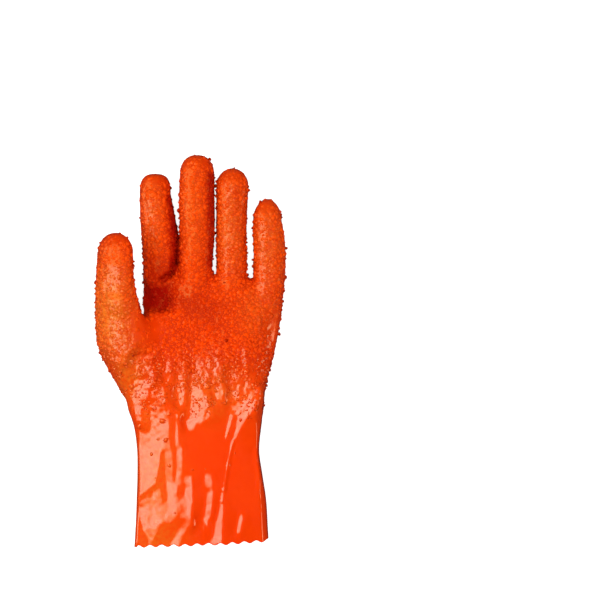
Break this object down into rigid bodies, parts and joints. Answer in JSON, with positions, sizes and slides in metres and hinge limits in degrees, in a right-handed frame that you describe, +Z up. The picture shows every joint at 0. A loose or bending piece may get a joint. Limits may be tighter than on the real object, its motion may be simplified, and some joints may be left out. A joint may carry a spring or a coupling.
{
  "type": "waterproof work glove",
  "caption": "Left-hand waterproof gauntlet glove with a coarse grip coating, lying on its back with the palm up and the cuff open.",
  "frame": {"origin": "middle of the bounding box's base, on the surface that the back of the glove lies on", "axes": "+Y along the glove from the hem to the fingertips, +Z up out of the palm, +X away from the thumb"},
  "size_m": [0.1448, 0.3, 0.0488],
  "materials": {
    "coating": "glossy soft plastic coating, gritty over the palm and fingers"
  },
  "bodies": {
    "root": {"glove_shell": "coating"}
  },
  "joints": []
}
